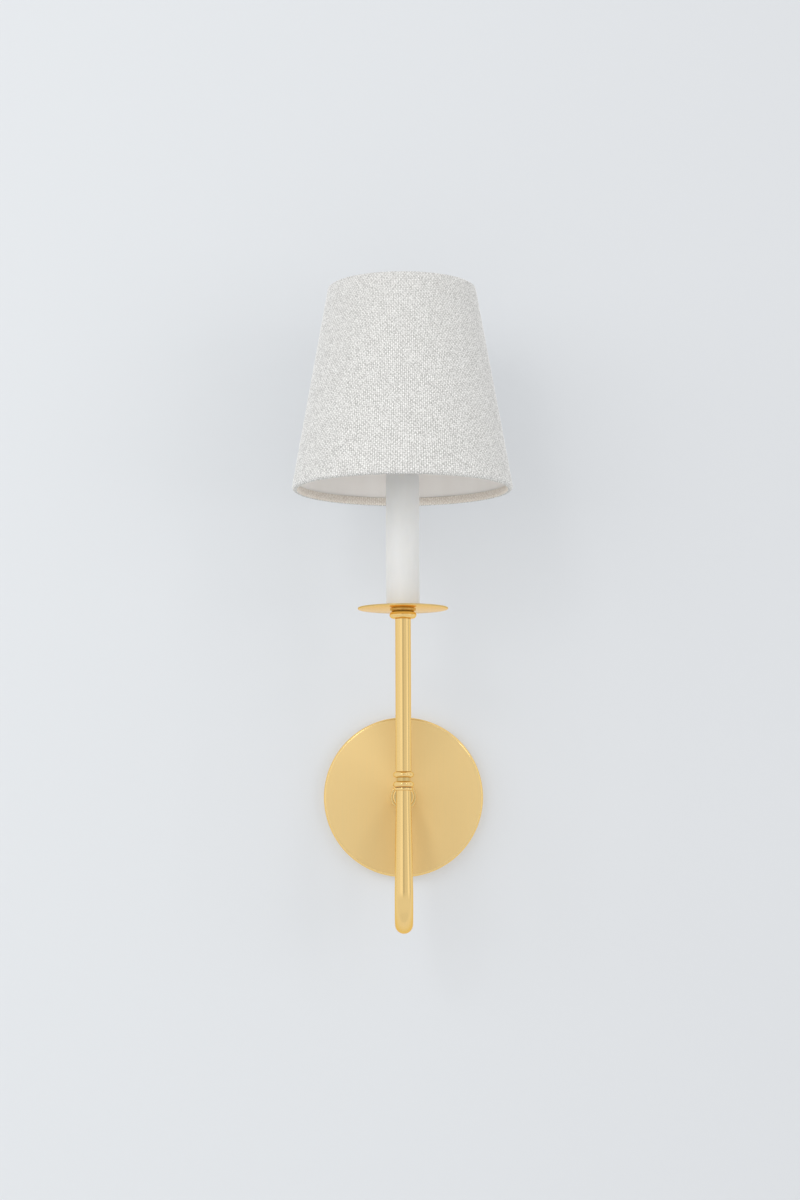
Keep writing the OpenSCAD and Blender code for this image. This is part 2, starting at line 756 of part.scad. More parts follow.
// A clip loop hugs the bulb: down one side, round below, and up the other
function loop_place(face, z, turn) =
    let (r = bulb_r(z) + clip_r + loose_gap, a = face + turn)
    [r * cos(a), r * sin(a) - stem_out, z];
function loop_root(face, turn, z) =
    let (a = face + turn)
    [root_r * cos(a), root_r * sin(a) - stem_out, z];
function loop_path(face) =
    let (
        root_z = bar_z - barrel_r,
        legs = [for (i = [0 : 4]) loop_high + (loop_low - loop_high) * i / 4],
        turns = [for (i = [1 : 11]) 180 * i / 12])
    concat(
        [loop_root(face, -clip_half_angle, root_z + 0.8), loop_root(face, -clip_half_angle, root_z - 1.5)],
        [for (z = legs) loop_place(face, z, -clip_half_angle)],
        [for (t = turns) loop_place(face, loop_low - loop_half * sin(t), -clip_half_angle * cos(t))],
        [for (i = [4 : -1 : 0]) loop_place(face, legs[i], clip_half_angle)],
        [loop_root(face, clip_half_angle, root_z - 1.5), loop_root(face, clip_half_angle, root_z + 0.8)]);

module clip_loops() {
    color("#cfc9b8")
        for (face = [0, 180]) {
            path = loop_path(face);
            solid_tube(path, [for (p = path) clip_r],
                [for (p = path) [p[0], p[1] + stem_out, 0]], 8);
        }
}

module clip_barrel() {
    color("#cfc9b8")
        translate([0, -stem_out, bar_z]) rotate([0, 90, 0])
            difference() {
                cylinder(r = barrel_r, h = barrel_len, center = true);
                cylinder(r = bar_d / 2 + turn_gap, h = barrel_len + 2, center = true);
            }
}

// The two rising ends of the cross bar, which reach the top ring
module bar_ends(r) {
    for (s = [-1, 1])
        translate([s * bar_straight, -stem_out, bar_z]) rotate([0, s * atan2(bar_run[0], bar_run[1]), 0])
            cylinder(r = r, h = norm(bar_run) - ring_wire_d / 2 + weld);
}

// The bar across the shade that turns in the clip's barrel
module cross_bar() {
    bar_r = bar_d / 2;
    color("#cfc9b8") {
        bar_ends(bar_r);
        translate([0, -stem_out, bar_z]) {
            rotate([0, 90, 0]) cylinder(r = bar_r, h = 2 * bar_straight, center = true);
            for (s = [-1, 1]) {
                translate([s * bar_straight, 0, 0]) sphere(r = bar_r + 0.1);
                translate([s * (barrel_len / 2 + loose_gap + stop_t / 2), 0, 0]) rotate([0, 90, 0])
                    cylinder(r = stop_r, h = stop_t, center = true);
            }
        }
    }
}

module wire_ring(centre) {
    color("#cfc9b8")
        on_axis() rotate_extrude() translate(centre) circle(d = ring_wire_d, $fn = 32);
}

module top_ring() {
    wire_ring(ring_centre_top);
}

module bottom_ring() {
    wire_ring(ring_centre_bottom);
}

module shade_lining() {
    color("#eae6e0")
        on_axis() rotate_extrude()
            polygon([
                shade_point(lining_u, lining_edge), shade_point(lining_u + lining_t, lining_edge),
                shade_point(lining_u + lining_t, shade_side - lining_edge),
                shade_point(lining_u, shade_side - lining_edge)]);
}

// The linen's section: an outer face that is rolled in over each ring and lies back on the lining
function roll(v, r, a0, a1) = [for (p = arc(hem_r, v, r, a0, a1, 12)) shade_point(p[0], p[1])];

module shade_linen() {
    inner_r = hem_r - linen_t;
    low = hem_r;
    high = shade_side - hem_r;
    color("#efedea")
        difference() {
            on_axis() rotate_extrude()
                polygon(concat(
                    roll(low, hem_r, 180, 360 + hem_wrap),
                    [shade_point(turned_in_u + linen_t, hem_h), shade_point(turned_in_u, hem_h)],
                    roll(low, inner_r, 360 + hem_wrap, 180),
                    roll(high, inner_r, 180, -hem_wrap),
                    [shade_point(turned_in_u, shade_side - hem_h),
                     shade_point(turned_in_u + linen_t, shade_side - hem_h)],
                    roll(high, hem_r, -hem_wrap, 180)));
            bar_ends(bar_d / 2 + loose_gap);
        }
}

backplate();
mounting_strap();
rim_screws();
earth_screw();
boss();
arm_nipple();
lock_washer();
lock_nut();
swan_arm();
collar();
stem();
knob();
drip_pan();
pipe();
pan_nut();
holder_leg();
holder_body();
holder_shell();
holder_contact();
holder_rivet();
candle_sleeve();
live_wire();
neutral_wire();
bulb_contact();
bulb_insulator();
bulb_cap();
bulb_glass();
bulb_mount();
filament_frame();
filaments();
clip_loops();
clip_barrel();
cross_bar();
top_ring();
bottom_ring();
shade_lining();
shade_linen();
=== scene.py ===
# %% [markdown]
# A wall sconce, dressed piece by piece. The CAD frame holds the true size and place of every part.
# This lesson loads that frame, keeps the parts whose shape is already right, and builds finer meshes
# for the turned brass, the bent arm and the linen shade, which the eye goes to first.

# %% load the frame
import math

import bmesh
import bpy
import numpy as np
from mathutils import Matrix, Vector, noise


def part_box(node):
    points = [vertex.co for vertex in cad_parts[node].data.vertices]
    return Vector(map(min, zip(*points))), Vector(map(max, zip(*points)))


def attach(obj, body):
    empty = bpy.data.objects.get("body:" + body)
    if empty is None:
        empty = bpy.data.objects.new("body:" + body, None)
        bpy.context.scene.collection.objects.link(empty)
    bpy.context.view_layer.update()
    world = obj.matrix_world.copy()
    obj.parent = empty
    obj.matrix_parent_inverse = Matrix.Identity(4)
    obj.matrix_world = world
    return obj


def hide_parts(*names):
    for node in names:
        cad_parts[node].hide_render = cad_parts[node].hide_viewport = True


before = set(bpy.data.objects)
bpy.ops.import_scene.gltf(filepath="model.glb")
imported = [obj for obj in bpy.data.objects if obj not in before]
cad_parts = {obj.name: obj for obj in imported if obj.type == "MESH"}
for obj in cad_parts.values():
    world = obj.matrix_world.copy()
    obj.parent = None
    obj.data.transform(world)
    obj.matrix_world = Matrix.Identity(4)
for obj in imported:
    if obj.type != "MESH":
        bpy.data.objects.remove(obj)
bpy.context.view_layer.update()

print("nodes in the frame:", len(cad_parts))

# %% [markdown]
# Millimetres are easier to read for a part of this size, so lengths are written as a number times MM.

# %% units and places
MM = 0.001


def span(node):
    """Width, depth and height of a CAD node."""
    low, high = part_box(node)
    return high - low


stem_axis = (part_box("stem")[0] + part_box("stem")[1]) / 2
stem_y = stem_axis.y
wall_y = 0.0
print("the stem stands", round(-stem_y / MM, 1), "mm from the wall")

# %% [markdown]
# The photograph was taken with a long lens, a little below the middle of the sconce, looking up by about
# six degrees. The camera comes first, because every finish is judged through it.

# %% camera
camera_place = Vector((-2.1 * MM, -1.823, -41.4 * MM))
camera_pitch = math.radians(6.0)
camera_roll = math.radians(-0.2)
lens_mm = 72.0

scene = bpy.context.scene
camera_data = bpy.data.cameras.new("camera")
camera_data.lens = lens_mm
camera_data.sensor_width = 36.0
camera_data.clip_end = 20.0
camera = bpy.data.objects.new("camera", camera_data)
camera.matrix_world = (
    Matrix.Translation(camera_place)
    @ Matrix.Rotation(math.radians(90) + camera_pitch, 4, "X")
    @ Matrix.Rotation(camera_roll, 4, "Z")
)
scene.collection.objects.link(camera)
scene.camera = camera
print("lens", lens_mm, "mm, pitch", round(math.degrees(camera_pitch), 1), "degrees")

# %% [markdown]
# Shaders are built from small nodes, and a few kinds come again and again. calculate makes one step of
# arithmetic, where a value may be a plain number or the output of another node. between takes a value from
# one range to another. It could be done with arithmetic too, but the ready-made node also stops at the ends.

# %% small shader helpers
def calculate(nodes, links, operation, *values):
    """One step of arithmetic in a shader."""
    step = nodes.new("ShaderNodeMath")
    step.operation = operation
    for socket, value in zip(step.inputs, values):
        if isinstance(value, bpy.types.NodeSocket):
            links.new(value, socket)
        else:
            socket.default_value = value
    return step.outputs["Value"]


def between(nodes, links, value, low, high, start=0.3, end=0.7):
    """Takes the value's start to end, where most noise lies, to low to high."""
    spread = nodes.new("ShaderNodeMapRange")
    spread.inputs["From Min"].default_value = start
    spread.inputs["From Max"].default_value = end
    spread.inputs["To Min"].default_value = low
    spread.inputs["To Max"].default_value = high
    links.new(value, spread.inputs["Value"])
    return spread.outputs["Result"]


def tint(nodes, links, value, dark, light):
    """A colour between dark and light."""
    mix = nodes.new("ShaderNodeMix")
    mix.data_type = "RGBA"
    mix.inputs["A"].default_value = (*dark, 1)
    mix.inputs["B"].default_value = (*light, 1)
    links.new(value, mix.inputs["Factor"])
    return mix.outputs["Result"]


print("shader helpers:", calculate.__name__, between.__name__, tint.__name__)

# %% [markdown]
# Every finish starts from the same shader. new_material makes one and returns the few things that the
# finishes below work on. The others add what most of them need: noise, relief and a varied colour.

# %% a material to start from
def new_material(name, colour, roughness, metallic=0.0):
    """A material, its nodes and links, and its shader."""
    material = bpy.data.materials.new(name)
    material.use_nodes = True
    nodes, links = material.node_tree.nodes, material.node_tree.links
    shader = nodes["Principled BSDF"]
    shader.inputs["Base Color"].default_value = (*colour, 1)
    shader.inputs["Roughness"].default_value = roughness
    shader.inputs["Metallic"].default_value = metallic
    return material, nodes, links, shader


def stretched_noise(nodes, links, stretch, scale, detail=3.0):
    """Noise in the object's own coordinates, scaled by stretch along X, Y and Z."""
    place = nodes.new("ShaderNodeTexCoord")
    mapping = nodes.new("ShaderNodeMapping")
    mapping.inputs["Scale"].default_value = stretch
    texture = nodes.new("ShaderNodeTexNoise")
    texture.inputs["Scale"].default_value = scale
    texture.inputs["Detail"].default_value = detail
    links.new(place.outputs["Object"], mapping.inputs["Vector"])
    links.new(mapping.outputs["Vector"], texture.inputs["Vector"])
    return texture.outputs["Fac"]


def relief(nodes, links, value, shader, strength, distance):
    """Lifts the surface by up to distance where value is high."""
    bump = nodes.new("ShaderNodeBump")
    bump.inputs["Strength"].default_value = strength
    bump.inputs["Distance"].default_value = distance
    links.new(value, bump.inputs["Height"])
    links.new(bump.outputs["Normal"], shader.inputs["Normal"])


def vary_colour(nodes, links, value, shader, dark, light):
    """Lets the noise in value choose the colour between dark and light."""
    share = between(nodes, links, value, 0, 1)
    links.new(tint(nodes, links, share, dark, light), shader.inputs["Base Color"])


print("material helpers:", new_material.__name__, stretched_noise.__name__, relief.__name__)

# %% [markdown]
# Brass looks like brass only if it has something to mirror. The room is pale all round. It is darker
# where the camera stands and on the far right, with a bright band on each side of the camera. A polished
# tube shows this as stripes: sideways across the tube stands for the way round the room. The stripes
# fade out towards the ceiling and the floor. A picture of a room would do the same, but a short list of
# brightnesses needs no file and can be tuned stripe by stripe.

# %% the room
scene.view_settings.view_transform = "Standard"
room_light = 1.06
ceiling_light, floor_light = 0.81, 0.79
fade_above, fade_below = (0.3, 0.7), (0.02, 0.3)

# Degrees round the room from the camera's side, minus to the left, and how bright the room is there.
ROOM = [
    (-180, 0.82), (-112, 0.80), (-100, 0.86), (-52, 0.88), (-42, 0.98), (-17, 1.0), (-9, 0.56), (5, 0.54),
    (10, 0.72), (46, 0.74), (55, 1.0), (72, 1.0), (81, 0.62), (104, 0.60), (114, 0.80), (180, 0.82),
]


def make_room():
    """A world whose brightness depends on the way round the room and on the height."""
    world = bpy.data.worlds.new("pale_room")
    world.use_nodes = True
    nodes, links = world.node_tree.nodes, world.node_tree.links
    look = nodes.new("ShaderNodeTexCoord")
    split = nodes.new("ShaderNodeSeparateXYZ")
    links.new(look.outputs["Generated"], split.inputs["Vector"])
    forward = calculate(nodes, links, "MULTIPLY", split.outputs["Y"], -1)
    turn = calculate(nodes, links, "ARCTAN2", split.outputs["X"], forward)
    ramp = nodes.new("ShaderNodeValToRGB")
    ramp.color_ramp.interpolation = "EASE"
    stops = ramp.color_ramp.elements
    while len(stops) < len(ROOM):
        stops.new(0.5)
    for stop, (degrees, light) in zip(stops, ROOM):
        stop.position = (degrees + 180) / 360
        stop.color = (light, light, light, 1)
    links.new(between(nodes, links, turn, 0, 1, -math.pi, math.pi), ramp.inputs["Fac"])
    fades = []
    for sign, (start, end) in ((1, fade_above), (-1, fade_below)):
        height = calculate(nodes, links, "MULTIPLY", split.outputs["Z"], sign)
        fades.append(between(nodes, links, height, 0, 1, start, end))
    is_above = calculate(nodes, links, "GREATER_THAN", split.outputs["Z"], 0)
    step_up = ceiling_light - floor_light
    height_light = calculate(nodes, links, "MULTIPLY_ADD", is_above, step_up, floor_light)
    plain = nodes.new("ShaderNodeMix")
    plain.data_type = "RGBA"
    links.new(calculate(nodes, links, "MAXIMUM", *fades), plain.inputs["Factor"])
    links.new(ramp.outputs["Color"], plain.inputs["A"])
    links.new(height_light, plain.inputs["B"])
    background = nodes["Background"]
    background.inputs["Strength"].default_value = room_light
    links.new(plain.outputs["Result"], background.inputs["Color"])
    scene.world = world


make_room()
print("room stops:", len(ROOM))

# %% [markdown]
# Softboxes give the light its direction. The front one casts the soft shadows to the right of the shade
# and the plate, the left one rakes across the linen, so that the nubs stand out, and the right one fills.
# They are kept out of mirrors, where the room's own bands do their work. Two small ones spark on the beads.

# %% the lamps
def soft_lamp(name, place, size, power, in_mirrors=True):
    """A rectangular softbox at place, turned towards the sconce. Size is (width, height) in metres."""
    data = bpy.data.lights.new(name, "AREA")
    data.shape = "RECTANGLE"
    data.size, data.size_y = size
    data.energy = power
    lamp = bpy.data.objects.new(name, data)
    facing = (sconce_middle - Vector(place)).to_track_quat("-Z", "Y")
    lamp.matrix_world = Matrix.Translation(place) @ facing.to_matrix().to_4x4()
    lamp.visible_glossy = in_mirrors
    scene.collection.objects.link(lamp)


sconce_middle = Vector((0, stem_y, 130 * MM))
soft_lamp("front_softbox", (-1.7, -2.5, 1.0), (2.0, 2.0), 14, in_mirrors=False)
soft_lamp("left_softbox", (-2.7, -1.1, 0.6), (0.9, 1.2), 8, in_mirrors=False)
soft_lamp("spark_left", (-0.95, -2.3, 1.3), (0.45, 0.45), 2.8)
soft_lamp("spark_right", (1.35, -2.2, 1.15), (0.35, 0.35), 1.5)
soft_lamp("right_fill", (1.9, -2.0, 0.2), (1.2, 1.2), 10, in_mirrors=False)

# %% [markdown]
# The wall and the floor are only a stage. Both are see-through from behind, so the sconce can be looked at
# from the back as well, as if it had been taken off the wall. Brass sees both as a plain pale backdrop.

# %% one-sided paint
# The colour changes from left to right within this distance of the middle, in metres. Lighter on the left
# and darker on the right, it is painted light falling from the left.
colour_reach = 0.3


def one_sided_paint(name, left_colour, right_colour, grain_strength, evenness, in_mirrors):
    """Matt paint that turns from one colour to the other along X, invisible from its back face.

    Evenness is how much of it the camera sees without shadows, and in_mirrors how pale brass sees it."""
    material, nodes, links, shader = new_material(name, left_colour, 0.85)
    place = nodes.new("ShaderNodeTexCoord")
    split = nodes.new("ShaderNodeSeparateXYZ")
    links.new(place.outputs["Object"], split.inputs["Vector"])
    across = between(nodes, links, split.outputs["X"], 0, 1, -colour_reach, colour_reach)
    colour = tint(nodes, links, across, left_colour, right_colour)
    links.new(colour, shader.inputs["Base Color"])
    grain = stretched_noise(nodes, links, (1, 1, 1), 60, 3)
    relief(nodes, links, grain, shader, grain_strength, 0.6 * MM)

    def choose(share, first, second):
        """Shows the second look where share is 1 and the first where it is 0."""
        mix = nodes.new("ShaderNodeMixShader")
        links.new(share, mix.inputs["Fac"])
        links.new(first, mix.inputs[1])
        links.new(second, mix.inputs[2])
        return mix.outputs["Shader"]

    even = nodes.new("ShaderNodeEmission")
    links.new(colour, even.inputs["Color"])
    backdrop = nodes.new("ShaderNodeEmission")
    backdrop.inputs["Strength"].default_value = in_mirrors
    clear = nodes.new("ShaderNodeBsdfTransparent")
    ray = nodes.new("ShaderNodeLightPath")
    geometry = nodes.new("ShaderNodeNewGeometry")
    seen = calculate(nodes, links, "MULTIPLY", ray.outputs["Is Camera Ray"], evenness)
    glossy, through = ray.outputs["Is Glossy Ray"], ray.outputs["Is Transmission Ray"]
    mirrored = calculate(nodes, links, "ADD", glossy, through)
    lit = choose(seen, shader.outputs["BSDF"], even.outputs["Emission"])
    lit = choose(mirrored, lit, backdrop.outputs["Emission"])
    sided = choose(geometry.outputs["Backfacing"], lit, clear.outputs["BSDF"])
    links.new(sided, nodes["Material Output"].inputs["Surface"])
    return material


# The wall's grey, painted lighter on the left and darker on the right: painted light.
wall_left_lit, wall_right_shaded = (0.735, 0.76, 0.785), (0.69, 0.71, 0.735)
floor_grey = (0.74, 0.75, 0.76)
wall_paint = one_sided_paint(
    "wall_paint", wall_left_lit, wall_right_shaded, grain_strength=0.1, evenness=0.38, in_mirrors=0.88)
floor_paint = one_sided_paint(
    "floor_paint", floor_grey, floor_grey, grain_strength=0.0, evenness=0.0, in_mirrors=0.8)
print("paints:", wall_paint.name, floor_paint.name)

# %% [markdown]
# The wall stands right behind the backplate and is wide enough to fill the picture. The floor lies far
# below it, out of sight, and only sends a little light back up. One flat face each is all they need.

# %% wall and floor
def stage_plane(name, corners, material):
    """A flat face that belongs to the stage and not to the sconce."""
    mesh = bpy.data.meshes.new(name)
    mesh.from_pydata(corners, [], [(0, 1, 2, 3)])
    mesh.materials.append(material)
    plane = bpy.data.objects.new(name, mesh)
    scene.collection.objects.link(plane)
    print("stage:", name)


wall_reach, floor_reach, floor_depth, floor_z = 3.0, 1.3, 1.0, -1.7
stage_plane(
    "wall",
    [(-wall_reach, wall_y, floor_z), (wall_reach, wall_y, floor_z),
     (wall_reach, wall_y, wall_reach), (-wall_reach, wall_y, wall_reach)],
    wall_paint,
)
stage_plane(
    "floor",
    [(-floor_reach, -floor_depth, floor_z), (floor_reach, -floor_depth, floor_z),
     (floor_reach, wall_y, floor_z), (-floor_reach, wall_y, floor_z)],
    floor_paint,
)

# %% [markdown]
# The brass is lacquered and only lightly brushed. Long thin noise gives the brush lines: it varies the
# roughness a little and lifts the surface by microns. A slow noise adds the faint clouding of lacquer.
# The polishing wheel doesn't reach into grooves, so these get a rougher brass of their own, and its darker,
# browner colour is painted shade, where little light reaches. The noise is stretched upright for tubes and
# the plate, and level for turned pieces. The plate's shine is also spread in circles, as spinning leaves it.

# %% brass
BRASS_LIGHT = (0.93, 0.672, 0.29)
BRASS_DARK = (0.88, 0.625, 0.262)
BRASS_EDGE = (0.94, 0.73, 0.37)
# The plate's brass is a lighter copy of the same brass: painted light.
LIT_PLATE_DARK, LIT_PLATE_LIGHT = (0.96, 0.715, 0.335), (1.0, 0.755, 0.36)
# Darker, browner brass for grooves, recesses and thin edges: painted shade.
SHADE_BRASS_DARK, SHADE_BRASS_LIGHT = (0.66, 0.485, 0.20), (0.76, 0.565, 0.24)
LONG_UPRIGHT, UPRIGHT, LEVEL = (1.0, 1.0, 0.01), (1.0, 1.0, 0.03), (0.05, 0.05, 1.0)


def brass(name, stretch, roughness, line_depth, contrast, dark=BRASS_DARK, light=BRASS_LIGHT):
    """Lacquered brass with brush lines. Stretch sets their direction, contrast how much they show."""
    material, nodes, links, shader = new_material(name, light, roughness, 1.0)
    shader.inputs["Specular Tint"].default_value = (*BRASS_EDGE, 1)
    lines = stretched_noise(nodes, links, stretch, 900, 4)
    clouds = stretched_noise(nodes, links, (1, 1, 1), 22, 2)
    cloudy = between(nodes, links, clouds, 0.3 - 0.5 * contrast, 0.7 - 0.5 * contrast)
    both = calculate(nodes, links, "MULTIPLY_ADD", lines, contrast, cloudy)
    links.new(between(nodes, links, lines, roughness - 0.04, roughness + 0.04), shader.inputs["Roughness"])
    links.new(tint(nodes, links, both, dark, light), shader.inputs["Base Color"])
    relief(nodes, links, lines, shader, 0.1, line_depth)
    return material


def brushed_in_circles(material, amount):
    """Spreads the shine as brush lines in circles would, round the axis that points out of the wall."""
    nodes, links = material.node_tree.nodes, material.node_tree.links
    shader = nodes["Principled BSDF"]
    around = nodes.new("ShaderNodeTangent")
    around.direction_type = "RADIAL"
    around.axis = "Y"
    links.new(around.outputs["Tangent"], shader.inputs["Tangent"])
    shader.inputs["Anisotropic"].default_value = amount
    shader.inputs["Anisotropic Rotation"].default_value = 0.25


plate_brass = brass("plate_brass", UPRIGHT, 0.48, 0.02 * MM, 1.2, LIT_PLATE_DARK, LIT_PLATE_LIGHT)
tube_brass = brass("tube_brass", LONG_UPRIGHT, 0.14, 0.003 * MM, 0.5)
turned_brass = brass("turned_brass", LEVEL, 0.12, 0.003 * MM, 0.4)
painted_shade_brass = brass("painted_shade_brass", LEVEL, 0.3, 0.006 * MM, 0.6, SHADE_BRASS_DARK, SHADE_BRASS_LIGHT)
brushed_in_circles(plate_brass, 0.68)
print("brass finishes:", plate_brass.name, tube_brass.name, turned_brass.name, painted_shade_brass.name)

# %% [markdown]
# Every new piece is a mesh made from points and faces, so three small helpers serve them all.

# %% making and dressing a piece
def mesh_piece(name, vertices, faces, sharp_degrees=38):
    """A smooth mesh object whose faces all look outwards, with crisp edges where it turns sharply."""
    mesh = bpy.data.meshes.new(name)
    mesh.from_pydata([tuple(v) for v in vertices], [], faces)
    work = bmesh.new()
    work.from_mesh(mesh)
    bmesh.ops.recalc_face_normals(work, faces=work.faces)
    work.to_mesh(mesh)
    work.free()
    mesh.polygons.foreach_set("use_smooth", [True] * len(mesh.polygons))
    mesh.set_sharp_from_angle(angle=math.radians(sharp_degrees))
    piece = bpy.data.objects.new(name, mesh)
    scene.collection.objects.link(piece)
    return piece


def refinish(piece, material, chosen):
    """Gives a second finish to the faces for which chosen(face) is true."""
    piece.data.materials.append(material)
    faces = [face for face in piece.data.polygons if chosen(face)]
    for face in faces:
        face.material_index = len(piece.data.materials) - 1
    print(piece.name, "has", len(faces), "faces in", material.name)


def dress(piece, body, material, slot, *nodes):
    """Sets a new piece's finish and body, and hides the CAD nodes that it stands for. The slot is not used.
    """
    piece.data.materials.append(material)
    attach(piece, body)
    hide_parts(*nodes)
    print(piece.name, "has", len(piece.data.polygons), "faces")


print("piece helpers:", mesh_piece.__name__, refinish.__name__, dress.__name__)

# %% [markdown]
# Most of the brass was turned on a lathe. Turning is easy to copy: draw half of the outline once, soften
# its corners, and spin it. A cylinder with a bevel would do for the stem, but not for beads and hollow
# plates, and one way for all keeps the lesson short.

# %% turning
CORNER_STEPS = 5


def softened(outline, corners):
    """The closed outline with rounded corners. corners maps a point's number to its radius."""
    points = []
    count = len(outline)
    for i, here in enumerate(outline):
        here = Vector(here)
        radius = corners.get(i, 0)
        if not radius:
            points.append(here)
            continue
        before = Vector(outline[i - 1]) - here
        after = Vector(outline[(i + 1) % count]) - here
        reach = min(radius, before.length * 0.49, after.length * 0.49)
        start, end = here + before.normalized() * reach, here + after.normalized() * reach
        for k in range(CORNER_STEPS + 1):
            t = k / CORNER_STEPS
            points.append(start * (1 - t) ** 2 + here * 2 * t * (1 - t) + end * t ** 2)
    return points


def spin(name, outline, axis_point, axis="Z", steps=160):
    """Spins a closed outline of (radius, height) points about an axis.

    For axis Y the height stands out from the wall."""
    ring = len(outline)
    vertices, faces = [], []
    for k in range(steps):
        a = 2 * math.pi * k / steps
        here, there = k * ring, ((k + 1) % steps) * ring
        for i, (r, h) in enumerate(outline):
            if axis == "Z":
                vertices.append((axis_point[0] + r * math.cos(a), axis_point[1] + r * math.sin(a), h))
            else:
                vertices.append((axis_point[0] + r * math.cos(a), -h, axis_point[2] + r * math.sin(a)))
            j = (i + 1) % ring
            faces.append((here + i, here + j, there + j, there + i))
    return mesh_piece(name, vertices, faces)


square = [(0, 0), (1, 0), (1, 1), (0, 1)]
print("a square with one soft corner has", len(softened(square, {2: 0.2})), "points")

# %% [markdown]
# The backplate is a shallow spun dish, closed towards the room and open towards the wall. Its front edge
# is rounded over, and in the photograph that thin rounding catches the light as a bright line on the left.
# Spun about the axis that points out of the wall, the dish gets its open back and its wall thickness in one
# go. The face is satin and the rounded edge is polished, so the edge's faces get the tube's finish.

# %% backplate
plate_low, plate_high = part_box("backplate")
plate_radius = (plate_high.z - plate_low.z) / 2
plate_depth = -plate_low.y
plate_wall = 1.5 * MM
nipple_radius = 4.05 * MM
rim_rounding = 2.2 * MM
plate_outline = softened(
    [(plate_radius - plate_wall, 0), (plate_radius, 0), (plate_radius, plate_depth),
     (nipple_radius, plate_depth), (nipple_radius, plate_depth - plate_wall),
     (plate_radius - plate_wall, plate_depth - plate_wall)],
    {0: 0.3 * MM, 1: 0.3 * MM, 2: rim_rounding, 5: 1.0 * MM},
)
backplate = spin("backplate_spun", plate_outline, (0, 0, 0), "Y", 256)
dress(backplate, "sconce", plate_brass, "satin_brass", "backplate")
polished_from = plate_depth - rim_rounding - 0.8 * MM
refinish(backplate, tube_brass, lambda face: -face.center.y > polished_from and -face.normal.y < 0.99)

# %% [markdown]
# The boss covers the hole where the arm enters the plate: a low flange with a raised ring on it. It is
# turned like the plate. The step between flange and ring is a groove that polishing leaves dull, and the
# darker colour of its brass is painted shade.

# %% boss
boss_radius = span("boss").x / 2
boss_height = span("boss").y
ring_radius = 8.0 * MM
flange_height = 2.4 * MM
boss_face = plate_depth + boss_height
flange_face = plate_depth + flange_height
boss_outline = softened(
    [(nipple_radius, plate_depth), (boss_radius, plate_depth), (boss_radius, flange_face),
     (ring_radius + 0.6 * MM, flange_face), (ring_radius, flange_face + 0.5 * MM),
     (ring_radius, boss_face), (nipple_radius, boss_face)],
    {2: 1.0 * MM, 3: 0.4 * MM, 4: 0.4 * MM, 5: 1.1 * MM},
)
boss = spin("boss_turned", boss_outline, (0, 0, 0), "Y", 96)
dress(boss, "sconce", turned_brass, "polished_brass", "boss")
recess_radius = ring_radius + 1.0 * MM
# The groove between flange and ring gets the darker brass: painted shade.
refinish(boss, painted_shade_brass, lambda face: (
    math.hypot(face.center.x, face.center.z) < recess_radius
    and plate_depth + 1.0 * MM < -face.center.y < flange_face + 1.2 * MM))

# %% [markdown]
# The arm is one tube that was filled, bent over formers and drawn thinner towards its ends. First come the
# sizes: the upper bend starts at the boss, the lower bend is 24 mm in radius, and the front leg ends under
# the collar.

# %% sizes of the arm
arm_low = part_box("swan_arm")[0]
bend_radius = 24.0 * MM
arm_lead = 6.0 * MM
arm_drop = -(arm_low.z + span("swan_arm").x / 2)
collar_foot_height, waist_height = 2.1 * MM, 2.6 * MM
low_bead_height, high_bead_height = 4.5 * MM, 4.2 * MM
arm_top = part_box("stem")[0].z - collar_foot_height - low_bead_height - waist_height - high_bead_height
neck_radius = -stem_y - 2 * bend_radius - boss_face - arm_lead
low_centre = -(arm_drop - bend_radius)
radius_boss, radius_bend, radius_top = 5.3 * MM, span("swan_arm").x / 2, 5.1 * MM
arm_wall = 1.2 * MM
print("radius of the upper bend:", round(neck_radius / MM, 1), "mm")

# %% [markdown]
# The centreline is two arcs and two straights, drawn as points in the middle plane. A curve object with a
# round bevel would be shorter to write, but its wall couldn't be hollow and its radius is harder to steer.

# %% centreline of the arm
NECK_STEPS, BACK_LEG_STEPS, BEND_STEPS, FRONT_LEG_STEPS = 36, 14, 64, 30


def arc_points(centre, radius, start, end, count):
    """Points along an arc from start to end degrees, both included."""
    angles = [math.radians(start + (end - start) * i / count) for i in range(count + 1)]
    return [Vector((centre[0] + radius * math.cos(a), centre[1] + radius * math.sin(a))) for a in angles]


def straight_points(start, end, count):
    """The points between start and end, without the two."""
    start, end = Vector(start), Vector(end)
    return [start.lerp(end, i / count) for i in range(1, count)]


def arm_line():
    """The arm's centreline as (distance from the wall, height)."""
    neck = arc_points((boss_face + arm_lead, -neck_radius), neck_radius, 90, 0, NECK_STEPS)
    bend = arc_points((-stem_y - bend_radius, low_centre), bend_radius, 180, 360, BEND_STEPS)
    return (
        [Vector((boss_face, 0))] + neck + straight_points(neck[-1], bend[0], BACK_LEG_STEPS) + bend
        + straight_points(bend[-1], (-stem_y, arm_top), FRONT_LEG_STEPS) + [Vector((-stem_y, arm_top))]
    )


centreline = arm_line()
print("centreline points:", len(centreline))

# %% [markdown]
# Drawing and bending leave the tube a little thicker in its lower bend than at its ends. The radius grows
# smoothly from the boss, holds round the bend, and shrinks evenly up the front leg.

# %% radius along the arm
def smooth_step(t):
    """Eases from 0 to 1 with a soft start and a soft end."""
    t = max(0.0, min(1.0, t))
    return t * t * (3 - 2 * t)


